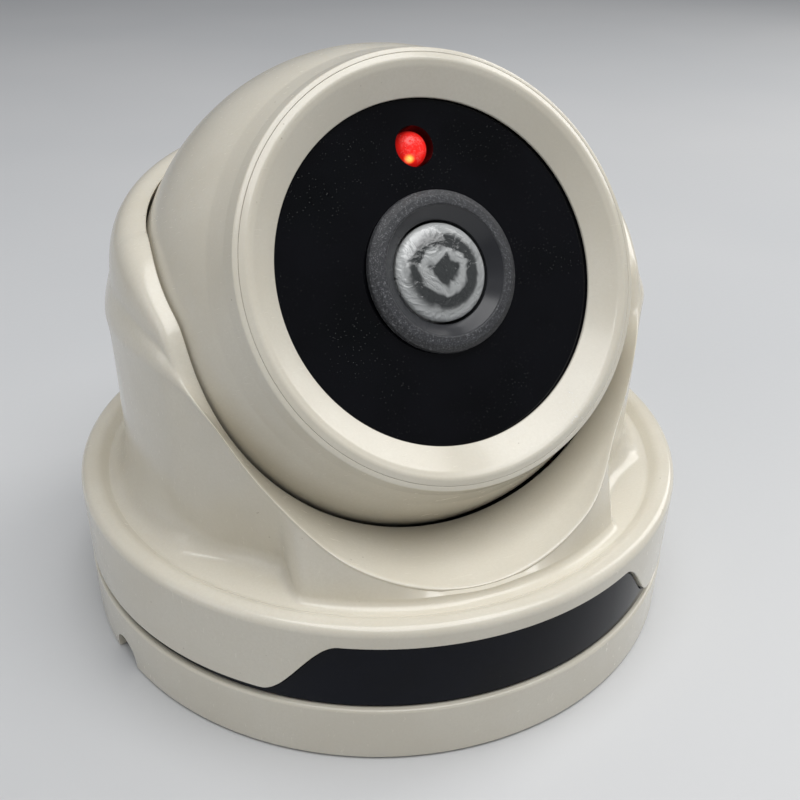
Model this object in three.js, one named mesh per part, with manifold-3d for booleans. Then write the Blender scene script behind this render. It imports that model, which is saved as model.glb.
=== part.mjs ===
// A small turret dome camera of the battery-powered kind: a round base, a hooded housing, and a
// ball that swivels and tilts in it behind a black face disc with a lens and an indicator light.
// Millimetres, +Z up. The origin is the centre of the underside, and the housing's front is -Y.

import * as THREE from 'three';
import { mergeVertices } from 'three/addons/utils/BufferGeometryUtils.js';
import Module from 'manifold-3d';

const wasm = await Module();
wasm.setup();

// ---------------------------------------------------------------- driving dimensions

const GAP = 0.3;                  // clearance between neighbouring pieces

const BASE_R = 47.6;              // mounting base, outside
const BASE_H = 8.9;               // height of its outer ring
const BASE_WALL = 1.2;
const FLOOR = 2.0;                // thickness of its floor
const BASE_HOLE_R = 6;
const BASE_SCREW_ORBIT = 31;
const BASE_SCREW_ANGLES = [0, 120, 240];
const NOTCH_R = 3;                // round-topped cable notch in the ring's lower edge
const NOTCH_ANGLE = -162;         // from +X
const LOCK_ANGLES = [30, 150, 270];

const DATUM = 0.9;                // everything above the base is drawn from this height
const SKIRT_R = 47.5;             // housing skirt, outside
const SKIRT_WALL = 1.1;
const SKIRT_LOW = 9.5;            // lower edge at the sides and back
const SKIRT_HIGH = 18.8;          // lower edge over the front window
const WINDOW_FROM = 26;           // the window's edge sweeps down between these angles
const WINDOW_TO = 39;
const RIM_H = 21.9;               // crest of the rim
const RIM_FILLET = 2.2;
const DECK_Z = 20.6;              // the dished deck inside the rim
const DECK_UNDER = 19.1;          // its underside
const WALL = 1.8;

const BALL_Z = 46.1;              // ball centre
const BALL_R = 35.8;
const BALL_WALL = 2.0;
const SOCKET_R = 36.25;           // spherical edge of the housing round the ball
const SCOOP_R = 32.3;             // round cut along Y that opens the front of the housing
const SCOOP_Z = 54.1;             // height of its axis
const RIDGE_Z = 48.4;             // ridge round the ears
const TONGUE_R = 41.6;            // front of the housing, below the scoop
const TONGUE_EDGE = 33.5;         // its corners, in degrees from the front
const FACE_UP = 29.6;             // elevation of the lens axis at rest
const FACE_YAW = 6.5;             // lens axis turned from the housing's front at rest
const SPLIT = -10;                // where the ball's two shells meet, along the lens axis

const BAND_LOW = 4.6;             // lower edge of the black band
const BAND_WALL = 1.2;
const PAD_R = 46.9;               // the band's raised face in the housing's window
const PAD_LOW = 8.3;
const FLANGE = [43.4, 45.2];      // radii of its locking flange
const FLANGE_TOP = 6.0;
const RETAINER_R = 35.2;
const RETAINER_Z = 3.1;           // seat of its screws' heads
const BOSS_ORBIT = 39.4;          // housing bosses that hold the retaining ring
const BOSS_ANGLES = [90, 210, 330];

const TRAY_R = 37;
const TRAY_Z = 4.5;               // underside of the swivel tray
const TRAY_T = 1.5;
const TROUGH_TOP = 16.2;          // top of the cells' troughs
const TROUGH_SHORT = 23.6;        // a trough's ends, beside the cell's button and its spring
const TROUGH_LONG = 26.9;
const CELL_R = 5.25;              // AAA cell
const CELL_L = 44.5;
const CELL_Y = 22;
const CELL_Z = 9.6;
const BUTTON_R = 1.9;
const BUTTON_H = 0.9;
const SPRING_L = 3.6;
const SPRING_TURNS = 3;
const PLATE = [7, 7.6];           // width and height of the cells' end plates
const BOARD_X = 31;
const BOARD_Z = 10.2;
const BOARD_TOP = 11.4;
const BOARD_SIZE = [7, 22];
const BOARD_SCREW_Y = [-9, 9];
const WIRE_R = 0.6;
const SWITCH_TRAVEL = 2.4;
const KNOB_LOW = 3.1;

const MOUTH_R = 28.3;             // front opening of the ball
const DISC_R = 24.9;
const DISC_FRONT = 20.48;         // along the lens axis, from the ball's centre
const DISC_T = 1.4;
const FACE_WINDOW_R = 23.15;      // opening of the bezel over the disc
const LED_R = 2.45;
const LED_Y = 16.9;               // light above the lens axis, on the face
const LEAD_X = 1.27;
const SHELL_SCREW_ORBIT = 31;
const SHELL_SCREW_ANGLES = [30, 150, 270];

// ---------------------------------------------------------------- materials

function material(color, roughness, metalness = 0) {
  return new THREE.MeshStandardMaterial({ color, roughness, metalness });
}

const ivory = material(0xd9d4c6, 0.3);
const blackGloss = material(0x0a0b10, 0.12);
const blackSatin = material(0x1b1c20, 0.5);
const rubber = material(0x2b2b2d, 0.85);
const clear = material(0xdfe6e8, 0.05);
const red = material(0xe01512, 0.25);
const steel = material(0xb9bcc0, 0.3, 1);
const brass = material(0xc9a24c, 0.35, 1);
const boardGreen = material(0x1f6b3a, 0.5);
const cellSleeve = material(0x3a4a5c, 0.4);
const redWire = material(0xb3201c, 0.5);
const blackWire = material(0x161616, 0.5);

// ---------------------------------------------------------------- solids

const rad = THREE.MathUtils.degToRad;

// Merges shared vertices, drops faces that have collapsed at an axis, and turns the faces out.
function tidy(geometry) {
  const bare = geometry.clone();
  bare.deleteAttribute('normal');
  bare.deleteAttribute('uv');
  const merged = mergeVertices(bare, 1e-4);
  const from = merged.index.array;
  const kept = [];
  for (let i = 0; i < from.length; i += 3) {
    const [a, b, c] = [from[i], from[i + 1], from[i + 2]];
    if (a !== b && b !== c && c !== a) kept.push(a, b, c);
  }
  if (signedVolume(merged.attributes.position, kept) < 0) kept.reverse();
  merged.setIndex(kept);
  return merged;
}

function signedVolume(position, index) {
  const [a, b, c] = [new THREE.Vector3(), new THREE.Vector3(), new THREE.Vector3()];
  let six = 0;
  for (let i = 0; i < index.length; i += 3) {
    a.fromBufferAttribute(position, index[i]);
    b.fromBufferAttribute(position, index[i + 1]);
    c.fromBufferAttribute(position, index[i + 2]);
    six += a.dot(b.cross(c));
  }
  return six / 6;
}

function solid(geometry) {
  const closed = tidy(geometry);
  return new wasm.Manifold(new wasm.Mesh({
    numProp: 3,
    vertProperties: new Float32Array(closed.attributes.position.array),
    triVerts: new Uint32Array(closed.index.array),
  }));
}

function toGeometry(body) {
  const mesh = body.getMesh();
  const geometry = new THREE.BufferGeometry();
  geometry.setAttribute('position', new THREE.BufferAttribute(mesh.vertProperties, 3));
  geometry.setIndex(new THREE.BufferAttribute(mesh.triVerts, 1));
  geometry.computeVertexNormals();
  return geometry;
}

function lathe(profile, segments) {
  const points = profile.map(([r, z]) => new THREE.Vector2(r, z));
  return new THREE.LatheGeometry(points, segments).rotateX(Math.PI / 2);
}

// A closed profile turned about Z.
function turned(profile, segments = 48) {
  return solid(lathe([...profile, profile[0]], segments));
}

// An upright cylinder from z0 to z1.
function post(x, y, radius, z0, z1, segments = 20) {
  const geometry = new THREE.CylinderGeometry(radius, radius, z1 - z0, segments).rotateX(Math.PI / 2);
  return solid(geometry.translate(x, y, (z0 + z1) / 2));
}

function block(x0, x1, y0, y1, z0, z1) {
  const geometry = new THREE.BoxGeometry(x1 - x0, y1 - y0, z1 - z0);
  return solid(geometry.translate((x0 + x1) / 2, (y0 + y1) / 2, (z0 + z1) / 2));
}

// A cylinder lying along X.
function rod(x0, x1, y, z, radius, segments = 24) {
  const geometry = new THREE.CylinderGeometry(radius, radius, x1 - x0, segments).rotateZ(Math.PI / 2);
  return solid(geometry.translate((x0 + x1) / 2, y, z));
}

function ballSolid(radius, z, segments = 64) {
  return solid(new THREE.SphereGeometry(radius, segments, segments / 2).translate(0, 0, z));
}

// A piece of a ring between two radii and two heights, centred on an angle from +X.
function ringBlock(r0, r1, z0, z1, middle, spread) {
  const shape = new THREE.Shape();
  shape.absarc(0, 0, r1, rad(middle - spread / 2), rad(middle + spread / 2), false);
  shape.absarc(0, 0, r0, rad(middle + spread / 2), rad(middle - spread / 2), true);
  const options = { depth: z1 - z0, bevelEnabled: false, curveSegments: 4 };
  return solid(new THREE.ExtrudeGeometry(shape, options).translate(0, 0, z0));
}

// A round wire through a list of points.
function wire(points, radius, steps, halfSides = 4) {
  const route = new THREE.CatmullRomCurve3(points.map((p) => new THREE.Vector3(...p)));
  const section = new THREE.Shape();
  section.absarc(0, 0, radius, 0, Math.PI * 2, false);
  const options = { steps, extrudePath: route, bevelEnabled: false, curveSegments: halfSides };
  return solid(new THREE.ExtrudeGeometry(section, options));
}

function atAngle(orbit, degrees) {
  return [orbit * Math.cos(rad(degrees)), orbit * Math.sin(rad(degrees))];
}

function arc(radius, centreR, centreZ, from, to, count) {
  const points = [];
  for (let i = 0; i <= count; i += 1) {
    const angle = rad(from + ((to - from) * i) / count);
    points.push([centreR + radius * Math.cos(angle), centreZ + radius * Math.sin(angle)]);
  }
  return points;
}

function mesh(name, body, finish) {
  const piece = new THREE.Mesh(toGeometry(body), finish);
  piece.name = name;
  return piece;
}

// ---------------------------------------------------------------- mounting base

function mountingBase() {
  const inner = BASE_R - BASE_WALL;
  const lugTop = DATUM + 7.6;
  const lugLow = DATUM + 6.4;
  const edge = 0.4;
  let body = turned([
    [BASE_HOLE_R, 0], [BASE_R - edge, 0], [BASE_R, edge], [BASE_R, BASE_H - edge],
    [BASE_R - edge, BASE_H], [inner, BASE_H], [inner, FLOOR], [BASE_HOLE_R, FLOOR],
  ], 48);
  for (const angle of LOCK_ANGLES) {
    body = body.add(ringBlock(41.8, 43.0, FLOOR - 0.5, lugTop, angle, 9));
    body = body.add(ringBlock(42.6, 44.5, lugLow, lugTop, angle, 9));
  }
  for (const angle of BASE_SCREW_ANGLES) {
    const [x, y] = atAngle(BASE_SCREW_ORBIT, angle);
    body = body.subtract(post(x, y, 2.3, -1, FLOOR + 1));
  }
  const [near, far] = [BASE_R - 4, BASE_R + 2];
  const notch = rod(near, far, 0, DATUM, NOTCH_R).add(block(near, far, -NOTCH_R, NOTCH_R, -1, DATUM));
  return body.subtract(notch.rotate([0, 0, NOTCH_ANGLE]));
}

// ---------------------------------------------------------------- housing

function smooth(from, to, value) {
  const t = Math.min(Math.max((value - from) / (to - from), 0), 1);
  return t * t * (3 - 2 * t);
}

function between(a, b, share) {
  return a + (b - a) * share;
}

// The lesser of two values, rounded where they cross.
function softLesser(a, b, sharpness) {
  return -Math.log(Math.exp(-sharpness * a) + Math.exp(-sharpness * b)) / sharpness;
}

// Height of the scoop's surface at a distance from the middle plane.
function scoopHeight(across) {
  return SCOOP_Z - Math.sqrt(Math.max(SCOOP_R ** 2 - across ** 2, 0));
}

// Elevation of the socket's edge on the ball, by angle from the front: where the scoop cuts the
// sphere, then over the ball's equator at the two ears, and highest at the hood behind.
function socketEdge(away) {
  if (away > 90) return 22 + 11 * Math.sin(rad(away - 90));
  const rise = SCOOP_Z - BALL_Z;
  const facing = Math.cos(rad(away)) ** 2;
  const c = SOCKET_R ** 2 * (1 - facing) + rise ** 2 - SCOOP_R ** 2;
  const sine = c / (rise + Math.sqrt(rise ** 2 - facing * c)) / SOCKET_R;
  const hood = 8 + 14 * smooth(56, 90, away);
  return softLesser(THREE.MathUtils.radToDeg(Math.asin(sine)), hood, 0.6);
}

// Outer radius of the housing's wall: the tongue in front, a waist beside it, then the ears.
function wallRadius(away) {
  const ear = 36.9 + 2.5 * smooth(46, 66, away) + 0.7 * smooth(66, 94, away);
  return between(TONGUE_R, ear, smooth(TONGUE_EDGE, 41, away));
}

// The crest between the wall and the scoop, which turns into the ridge round the ears.
function crest(away) {
  const ridge = wallRadius(away) + 0.4 * (1 - smooth(120, 128, away));
  const r = between(41 - 2.3 * smooth(24, 42, away), ridge, smooth(56, 68, away));
  const across = r * Math.sin(rad(Math.min(away, 90)));
  const slope = 43.3 + 0.5 * (Math.max(away, 40) - 54);
  const rising = softLesser(scoopHeight(across), slope, 1);
  return [r, softLesser(rising, RIDGE_Z, 1)];
}

// The housing's surface from its crest to the socket's edge: share runs from 0 to 1.
function overTheTop(away, share) {
  const [crestR, crestZ] = crest(away);
  const edge = rad(socketEdge(away));
  const [edgeR, edgeZ] = [SOCKET_R * Math.cos(edge), BALL_Z + SOCKET_R * Math.sin(edge)];
  const lipR = between(crestR, edgeR, share);
  const chord = between(crestZ, edgeZ, share);
  const lipZ = away < 90 ? Math.min(scoopHeight(lipR * Math.sin(rad(away))), chord) : chord;
  const turn = (share * Math.PI) / 2;
  const [startR, startZ] = [wallRadius(away) - 0.9, crestZ + 0.9];
  const hoodR = between(edgeR, startR, Math.max(Math.cos(turn), 0) ** (2 / 3));
  const hoodZ = between(startZ, edgeZ, Math.sin(turn) ** (2 / 3));
  const onHood = smooth(56, 67, away);
  return [between(lipR, hoodR, onHood), between(lipZ, hoodZ, onHood)];
}

// The closed section of the housing in the half plane at one angle from the front.
function housingSection(degrees) {
  const away = Math.abs(degrees);
  const edge = rad(socketEdge(away));
  const edgeR = SOCKET_R * Math.cos(edge);
  const edgeZ = BALL_Z + SOCKET_R * Math.sin(edge);
  const wallR = wallRadius(away);
  const [crestR, crestZ] = crest(away);
  const windowDrop = (SKIRT_HIGH - SKIRT_LOW) * smooth(WINDOW_FROM, WINDOW_TO, away);
  const low = SKIRT_HIGH - windowDrop;
  const foot = 1.2 + 1.2 * smooth(34, 42, away) + 5.6 * smooth(52, 76, away);
  const fillet = Math.min(foot, 0.8 * (crestZ - DECK_Z));
  const start = DECK_Z + fillet;
  const outer = [
    [SKIRT_R, low],
    ...arc(RIM_FILLET, SKIRT_R - RIM_FILLET, RIM_H - RIM_FILLET, 0, 90, 3),
    [Math.min(wallR + 2.2, 43.6), DECK_Z],
    [wallR + 0.5, DECK_Z + 0.3 * fillet],
    [wallR, start],
    [between(wallR, crestR, 0.2), between(start, crestZ, 0.5)],
    [between(wallR, crestR, 0.45), between(start, crestZ, 0.9)],
    [crestR, crestZ],
  ];
  const shares = [0.12, 0.3, 0.5, 0.7, 0.88];
  const top = shares.map((share) => overTheTop(away, share));
  const drops = [2 / 3, 1 / 3, 0];
  const below = drops.map((share) => (edge > 0
    ? [SOCKET_R * Math.cos(edge * share), BALL_Z + SOCKET_R * Math.sin(edge * share) - 0.02]
    : [edgeR, edgeZ - (1 - share) * 1.6]));
  const shoulderR = Math.max(wallR - WALL, edgeR + 0.02);
  const shoulderZ = Math.max(Math.min(crestZ - WALL, below[2][1] - 0.4), DECK_UNDER + 0.2);
  return [
    ...outer, ...top, [edgeR, edgeZ], ...below,
    [edge > 0 ? below[2][0] : shoulderR, shoulderZ],
    [shoulderR, DECK_UNDER],
    [SKIRT_R - SKIRT_WALL, DECK_UNDER - 0.01],
    [SKIRT_R - SKIRT_WALL, low],
  ];
}

// Every 6 degrees, and closer at the tongue's corners.
function housingAngles() {
  const angles = [];
  for (let degrees = -180; degrees < 180; degrees += 6) {
    angles.push(degrees);
    const from = Math.abs(degrees + 3);
    if (from > 30 && from < 42) angles.push(degrees + 1.5, degrees + 3, degrees + 4.5);
  }
  return angles;
}

// A ring whose section changes with the angle from the front.
function lofted(section, angles) {
  const segments = angles.length;
  const count = section(0).length + 1;
  const blank = Array.from({ length: count }, () => new THREE.Vector2(1, 0));
  const geometry = new THREE.LatheGeometry(blank, segments);
  const position = geometry.attributes.position;
  for (let i = 0; i <= segments; i += 1) {
    const degrees = angles[i % segments];
    const outline = section(degrees);
    const [sine, cosine] = [Math.sin(rad(degrees)), Math.cos(rad(degrees))];
    for (let j = 0; j < count; j += 1) {
      const [r, z] = outline[j % outline.length];
      position.setXYZ(i * count + j, r * sine, -r * cosine, z);
    }
  }
  return solid(geometry);
}

function upperHousing() {
  let body = lofted(housingSection, housingAngles());
  for (const angle of BOSS_ANGLES) {
    const [x, y] = atAngle(BOSS_ORBIT, angle);
    body = body.add(post(x, y, 2, 4.4, DECK_UNDER + 0.8, 16));
    body = body.subtract(post(x, y, 1.2, 4, 14, 12));
  }
  return body;
}

// The black band sits inside the skirt, and its raised pad fills the skirt's window.
function bandSection(degrees) {
  const away = Math.abs(degrees);
  const outer = SKIRT_R - SKIRT_WALL - GAP;
  const inner = outer - BAND_WALL;
  const top = SKIRT_HIGH - (SKIRT_HIGH - SKIRT_LOW) * smooth(WINDOW_FROM, WINDOW_TO, away) - 0.45;
  return [
    [inner, BAND_LOW], [outer, BAND_LOW], [outer, PAD_LOW], [PAD_R, PAD_LOW], [PAD_R, top],
    [outer, top + 0.15], [outer, SKIRT_HIGH], [inner, SKIRT_HIGH],
  ];
}

// The band's lower flange hooks under the mounting base's lugs, with a gap beside each lug to
// let it in.
function bandInsert() {
  const [flangeFrom, flangeTo] = FLANGE;
  const slotEnd = SKIRT_R - SKIRT_WALL - GAP - BAND_WALL;
  const flange = turned([
    [flangeFrom, BAND_LOW], [flangeTo, BAND_LOW], [flangeTo, FLANGE_TOP], [flangeFrom, FLANGE_TOP],
  ], 48);
  let body = lofted(bandSection, housingAngles()).add(flange);
  for (const angle of LOCK_ANGLES) {
    const slot = ringBlock(flangeFrom - 1.4, slotEnd, BAND_LOW - 0.6, FLANGE_TOP + 0.5, angle - 12, 11);
    body = body.subtract(slot);
  }
  return body;
}

function retainingRing() {
  const [low, high] = [2.3, 4.1];
  const outer = BOSS_ORBIT + 1.6;
  let body = turned([[RETAINER_R, low], [outer, low], [outer, high], [RETAINER_R, high]], 36);
  for (const angle of BOSS_ANGLES) {
    const [x, y] = atAngle(BOSS_ORBIT, angle);
    body = body.add(post(x, y, 2.6, RETAINER_Z + GAP, high, 16));
    body = body.subtract(post(x, y, 1.15, low - 1, high + 1, 12));
    body = body.subtract(post(x, y, 2.2, low - 1, RETAINER_Z + GAP, 16));
  }
  return body;
}

// A pan-head screw along Z: the underside of its head is at z = 0, its head above, and a slot
// across the head.
function screw(headR, headH, shankR, length) {
  const head = post(0, 0, headR, 0, headH, 16);
  const shank = post(0, 0, shankR, -length, headH / 2, 10);
  const slot = block(-0.25, 0.25, -headR - 1, headR + 1, headH * 0.55, headH + 1);
  return head.add(shank).subtract(slot);
}

// Driven upwards through the retaining ring into a boss of the housing.
function retainerScrew(x, y) {
  return screw(1.9, 0.8, 0.85, 9).rotate([180, 0, 0]).translate([x, y, RETAINER_Z - 0.02]);
}

// ---------------------------------------------------------------- swivel tray and what it carries

function swivelTray() {
  const inside = 8;
  let body = turned([
    [inside, TRAY_Z], [TRAY_R, TRAY_Z], [TRAY_R, TRAY_Z + TRAY_T], [inside, TRAY_Z + TRAY_T],
  ], 48);
  const inner = CELL_R + GAP;
  for (const side of [-1, 1]) {
    const y = side * CELL_Y;
    const [x0, x1] = side < 0 ? [-TROUGH_LONG, TROUGH_SHORT] : [-TROUGH_SHORT, TROUGH_LONG];
    body = body.add(block(x0 - 1, x1 + 1, y - inner - 1, y + inner + 1, TRAY_Z, TROUGH_TOP));
    body = body.subtract(block(x0, x1, y - inner, y + inner, TRAY_Z - 1, CELL_Z));
    body = body.subtract(rod(x0, x1, y, CELL_Z, inner));
  }
  for (const y of BOARD_SCREW_Y) {
    body = body.add(post(BOARD_X, y, 1.8, TRAY_Z + 0.5, BOARD_Z - GAP, 14));
    body = body.subtract(post(BOARD_X, y, 1.1, TRAY_Z - 1, BOARD_Z, 12));
  }
  const slotTop = TRAY_Z + TRAY_T + 1;
  body = body.subtract(block(BOARD_X - 1.5, BOARD_X + 1.5, -3, 3, TRAY_Z - 1, slotTop));
  body = body.subtract(ballSolid(BALL_R + 0.6, BALL_Z, 40));
  return body.intersect(post(0, 0, TRAY_R - 0.05, 0, 30, 48));
}

function seatRing() {
  const radii = [14.8, 12.2, 9.6];
  const bottom = TRAY_Z + TRAY_T + GAP;
  const seat = radii.map((r) => [r, BALL_Z - Math.sqrt((BALL_R + 0.35) ** 2 - r ** 2)]);
  return turned([[radii[2], bottom], [radii[0], bottom], ...seat], 36);
}

// side -1 is the front cell, with its button towards +X; the rear cell is the other way round.
function cell(side) {
  const [back, front] = [-CELL_L / 2, CELL_L / 2 - BUTTON_H];
  const can = rod(back, front, 0, 0, CELL_R, 28);
  const body = can.add(rod(front - 0.5, CELL_L / 2, 0, 0, BUTTON_R, 16));
  return inTrough(body, side);
}

// Places a piece drawn along X round the origin into one of the two troughs.
function inTrough(body, side) {
  return body.rotate([0, 0, side < 0 ? 0 : 180]).translate([0, side * CELL_Y, CELL_Z]);
}

function cellSpring(side) {
  const tip = -CELL_L / 2 - GAP - 0.35;
  const travel = SPRING_L - 0.7;
  const perTurn = 8;
  const points = [];
  for (let i = 0; i <= SPRING_TURNS * perTurn; i += 1) {
    const t = i / (SPRING_TURNS * perTurn);
    const angle = t * SPRING_TURNS * Math.PI * 2;
    const r = 3.2 - 1.2 * t;
    points.push([tip - (1 - t) * travel, r * Math.cos(angle), r * Math.sin(angle)]);
  }
  return inTrough(wire(points, 0.3, SPRING_TURNS * 9, 3), side);
}

function endPlate(x, thickness, side) {
  const [width, height] = PLATE;
  return inTrough(block(x, x + thickness, -width / 2, width / 2, -height / 2, height / 2), side);
}

function springPlate(side) {
  return endPlate(-CELL_L / 2 - SPRING_L - 0.9, 0.3, side);
}

function contactPlate(side) {
  return endPlate(CELL_L / 2 + GAP, 0.4, side);
}

function flasherBoard() {
  const [width, length] = BOARD_SIZE;
  const [x0, x1] = [BOARD_X - width / 2, BOARD_X + width / 2];
  let body = block(x0, x1, -length / 2, length / 2, BOARD_Z, BOARD_TOP);
  for (const y of BOARD_SCREW_Y) {
    body = body.subtract(post(BOARD_X, y, 1.1, BOARD_Z - 1, BOARD_TOP + 1, 12));
  }
  return body;
}

function boardScrew(x, y) {
  return screw(1.6, 0.8, 0.75, 5).translate([x, y, BOARD_TOP + GAP]);
}

function flasherChip() {
  const low = BOARD_TOP + GAP;
  return block(BOARD_X - 2.5, BOARD_X + 2.5, -5.6, -1.6, low, low + 1.5);
}

function currentResistor() {
  const capR = 1.1;
  let body = rod(-2.2, 2.2, 0, 0, 0.95, 14);
  body = body.add(rod(-2.4, -1.2, 0, 0, capR, 14));
  body = body.add(rod(1.2, 2.4, 0, 0, capR, 14));
  return body.translate([BOARD_X, 3.4, BOARD_TOP + GAP + capR]);
}

function switchBody() {
  const [low, high] = [TRAY_Z + TRAY_T + GAP, BOARD_Z - GAP];
  const body = block(BOARD_X - 2.2, BOARD_X + 2.2, -4.3, 4.3, low, high);
  return body.subtract(block(BOARD_X - 1.2, BOARD_X + 1.2, -2.9, 2.9, low - 1, low + 1.5));
}

// At rest the knob is at the on end of its travel, towards +Y.
function switchKnob() {
  const middle = SWITCH_TRAVEL / 2;
  const root = TRAY_Z + TRAY_T + GAP + 1.2;
  return block(BOARD_X - 0.8, BOARD_X + 0.8, middle - 1.2, middle + 1.2, KNOB_LOW, root);
}

// Wires run between the board, the cells' plates and the ball's cable hole.
function batteryWireRed() {
  return wire([
    [23.1, -CELL_Y + 2, 17.2], [24.4, -18.4, 18.0], [26.6, -15.5, 17.6], [28.0, -12, 15.8],
    [28.4, -9.4, 14.2], [28.4, -7.8, 13.2], [28.4, -7.2, 12.2],
  ], WIRE_R, 12);
}

function batteryWireBlack() {
  return wire([
    [27, CELL_Y - 4, 17.2], [27.4, 15.6, 17.6], [28.0, 12, 15.8], [28.4, 9.4, 14.2],
    [28.4, 7.8, 13.2], [28.4, 7.2, 12.2],
  ], WIRE_R, 12);
}

function cellLinkWire() {
  return wire([
    [-27, -CELL_Y + 3, 17.0], [-30, -14, 17.4], [-31.5, -6, 17.2], [-31.5, 6, 17.2],
    [-30, 14, 17.4], [-25, CELL_Y - 3, 17.0],
  ], WIRE_R, 20);
}

// From just outside the ball's cable hole, round behind the ball to the board.
function feedWire(side) {
  const reach = 34.2 - side * 0.8;
  const points = [[side * 0.9 - 4.9, 33.4, 26.2]];
  for (let angle = 96; angle >= 24; angle -= 12) {
    const [x, y] = atAngle(reach, angle);
    points.push([x, y, 18 + 5 * smooth(60, 96, angle)]);
  }
  const end = BOARD_X + 1 - side;
  points.push([end, 9.4, 15.6], [end, 7.0, 13.6], [end, 6.4, 12.2]);
  return wire(points, WIRE_R, 24);
}

// ---------------------------------------------------------------- ball, in its own frame
// Z is the lens axis, Y points up across the face, and the origin is the ball's centre.

function sphereArc(radius, from, to, steps) {
  const points = [];
  for (let i = 0; i <= steps; i += 1) {
    const angle = from + ((to - from) * i) / steps;
    points.push([radius * Math.cos(angle), radius * Math.sin(angle)]);
  }
  return points;
}

function ballFrontShell() {
  const inside = BALL_R - BALL_WALL;
  let body = turned([
    ...sphereArc(BALL_R, Math.asin(SPLIT / BALL_R), Math.acos(30.7 / BALL_R), 6),
    [29.9, 20.5], [29.0, 23.0], [28.7, 23.4], [MOUTH_R, 23.5],
    ...sphereArc(inside, Math.acos(MOUTH_R / inside), Math.asin(SPLIT / inside), 5),
  ], 42);
  for (const angle of SHELL_SCREW_ANGLES) {
    const [x, y] = atAngle(SHELL_SCREW_ORBIT, angle);
    body = body.add(post(x, y, 2.5, SPLIT + GAP, 2, 14));
    body = body.subtract(post(x, y, 1.1, SPLIT - 1, 0.5, 10));
  }
  return body;
}

function ballRearShell() {
  const inside = BALL_R - BALL_WALL;
  const end = SPLIT - GAP;
  const hole = 3.2;
  let body = turned([
    ...sphereArc(BALL_R, -Math.acos(hole / BALL_R), Math.asin(end / BALL_R), 8),
    ...sphereArc(inside, Math.asin(end / inside), -Math.acos(hole / inside), 5),
  ], 42);
  const within = ballSolid(BALL_R - 0.6, 0, 32);
  for (const angle of SHELL_SCREW_ANGLES) {
    const [x, y] = atAngle(SHELL_SCREW_ORBIT, angle);
    body = body.add(post(x, y, 2.9, -16, end, 14).intersect(within));
    body = body.subtract(post(x, y, 1.3, -30, 0, 12));
    body = body.subtract(post(x, y, 2.4, -30, -11.8, 14));
  }
  return body;
}

function bezelRing() {
  const outer = MOUTH_R - GAP;
  return turned([
    [FACE_WINDOW_R, 21.05], [25.2, 22.5], [26.4, 23.45], [27.3, 23.8], [outer, 23.5],
    [outer, 16.5], [26.6, 16.5], [DISC_R + GAP, 17.5], [DISC_R + GAP, DISC_FRONT + GAP],
    [FACE_WINDOW_R, DISC_FRONT + GAP],
  ], 42);
}

function faceDisc() {
  const back = DISC_FRONT - DISC_T;
  const body = turned([[9, back], [DISC_R, back], [DISC_R, DISC_FRONT], [9, DISC_FRONT]], 42);
  const sleeve = post(0, LED_Y, 4, 14, back + 0.2, 20);
  return body.add(sleeve).subtract(post(0, LED_Y, 2.75, 10, DISC_FRONT + 1, 24));
}

function lensRing() {
  const seat = DISC_FRONT + GAP;
  return turned([
    [10.9, seat], [10.75, 21.4], [9.8, 22.2], [9.2, 22.3], [7.0, 20.7], [7.0, 13.0],
    [8.7, 13.0], [8.7, seat],
  ], 30);
}

function clearLens() {
  return turned([
    [0, 16.2], [6.3, 16.2], [6.65, 16.6], [6.65, 20.2], [5.0, 21.2], [2.6, 21.9], [0, 22.1],
  ], 28);
}

function lensRetainer() {
  return turned([
    [0, 10.8], [10.2, 10.8], [10.2, 17.0], [11.5, 17.0], [11.5, 18.7], [9.0, 18.7],
    [9.0, 12.2], [0, 12.2],
  ], 28);
}

function redLed() {
  const dome = arc(LED_R, 0, 18.5, 0, 90, 4);
  const rim = [[0, 12.4], [2.7, 12.4], [2.7, 13.4], [LED_R, 13.4]];
  return turned([...rim, ...dome], 24).translate([0, LED_Y, 0]);
}

// Driven forwards through the rear shell into a boss of the front shell.
function shellScrew(x, y) {
  return screw(2.0, 1.0, 0.85, 8.6).rotate([180, 0, 0]).translate([x, y, SPLIT - 2.1]);
}

function ledLead(x, length) {
  return block(x - 0.25, x + 0.25, LED_Y - 0.25, LED_Y + 0.25, 12.1 - length, 12.1);
}

function ledWire(x) {
  return wire([
    [x * 1.4, LED_Y, 1.4], [x * 1.4, LED_Y - 1.6, -3], [x * 1.3, 11, -12], [x * 1.1, 4, -22],
    [x * 0.9, 0.5, -29], [x * 0.9, 0, -33.5],
  ], WIRE_R, 18);
}

// ---------------------------------------------------------------- the object

const camera = new THREE.Group();
const turret = new THREE.Group();
turret.position.z = DATUM;
camera.add(turret);

camera.add(mesh('mounting_base', mountingBase(), ivory));
turret.add(mesh('upper_housing', upperHousing(), ivory));
turret.add(mesh('band_insert', bandInsert(), blackGloss));
turret.add(mesh('retaining_ring', retainingRing(), ivory));
BOSS_ANGLES.forEach((angle, i) => {
  const [x, y] = atAngle(BOSS_ORBIT, angle);
  turret.add(mesh(`retainer_screw_${i + 1}`, retainerScrew(x, y), steel));
});

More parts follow.
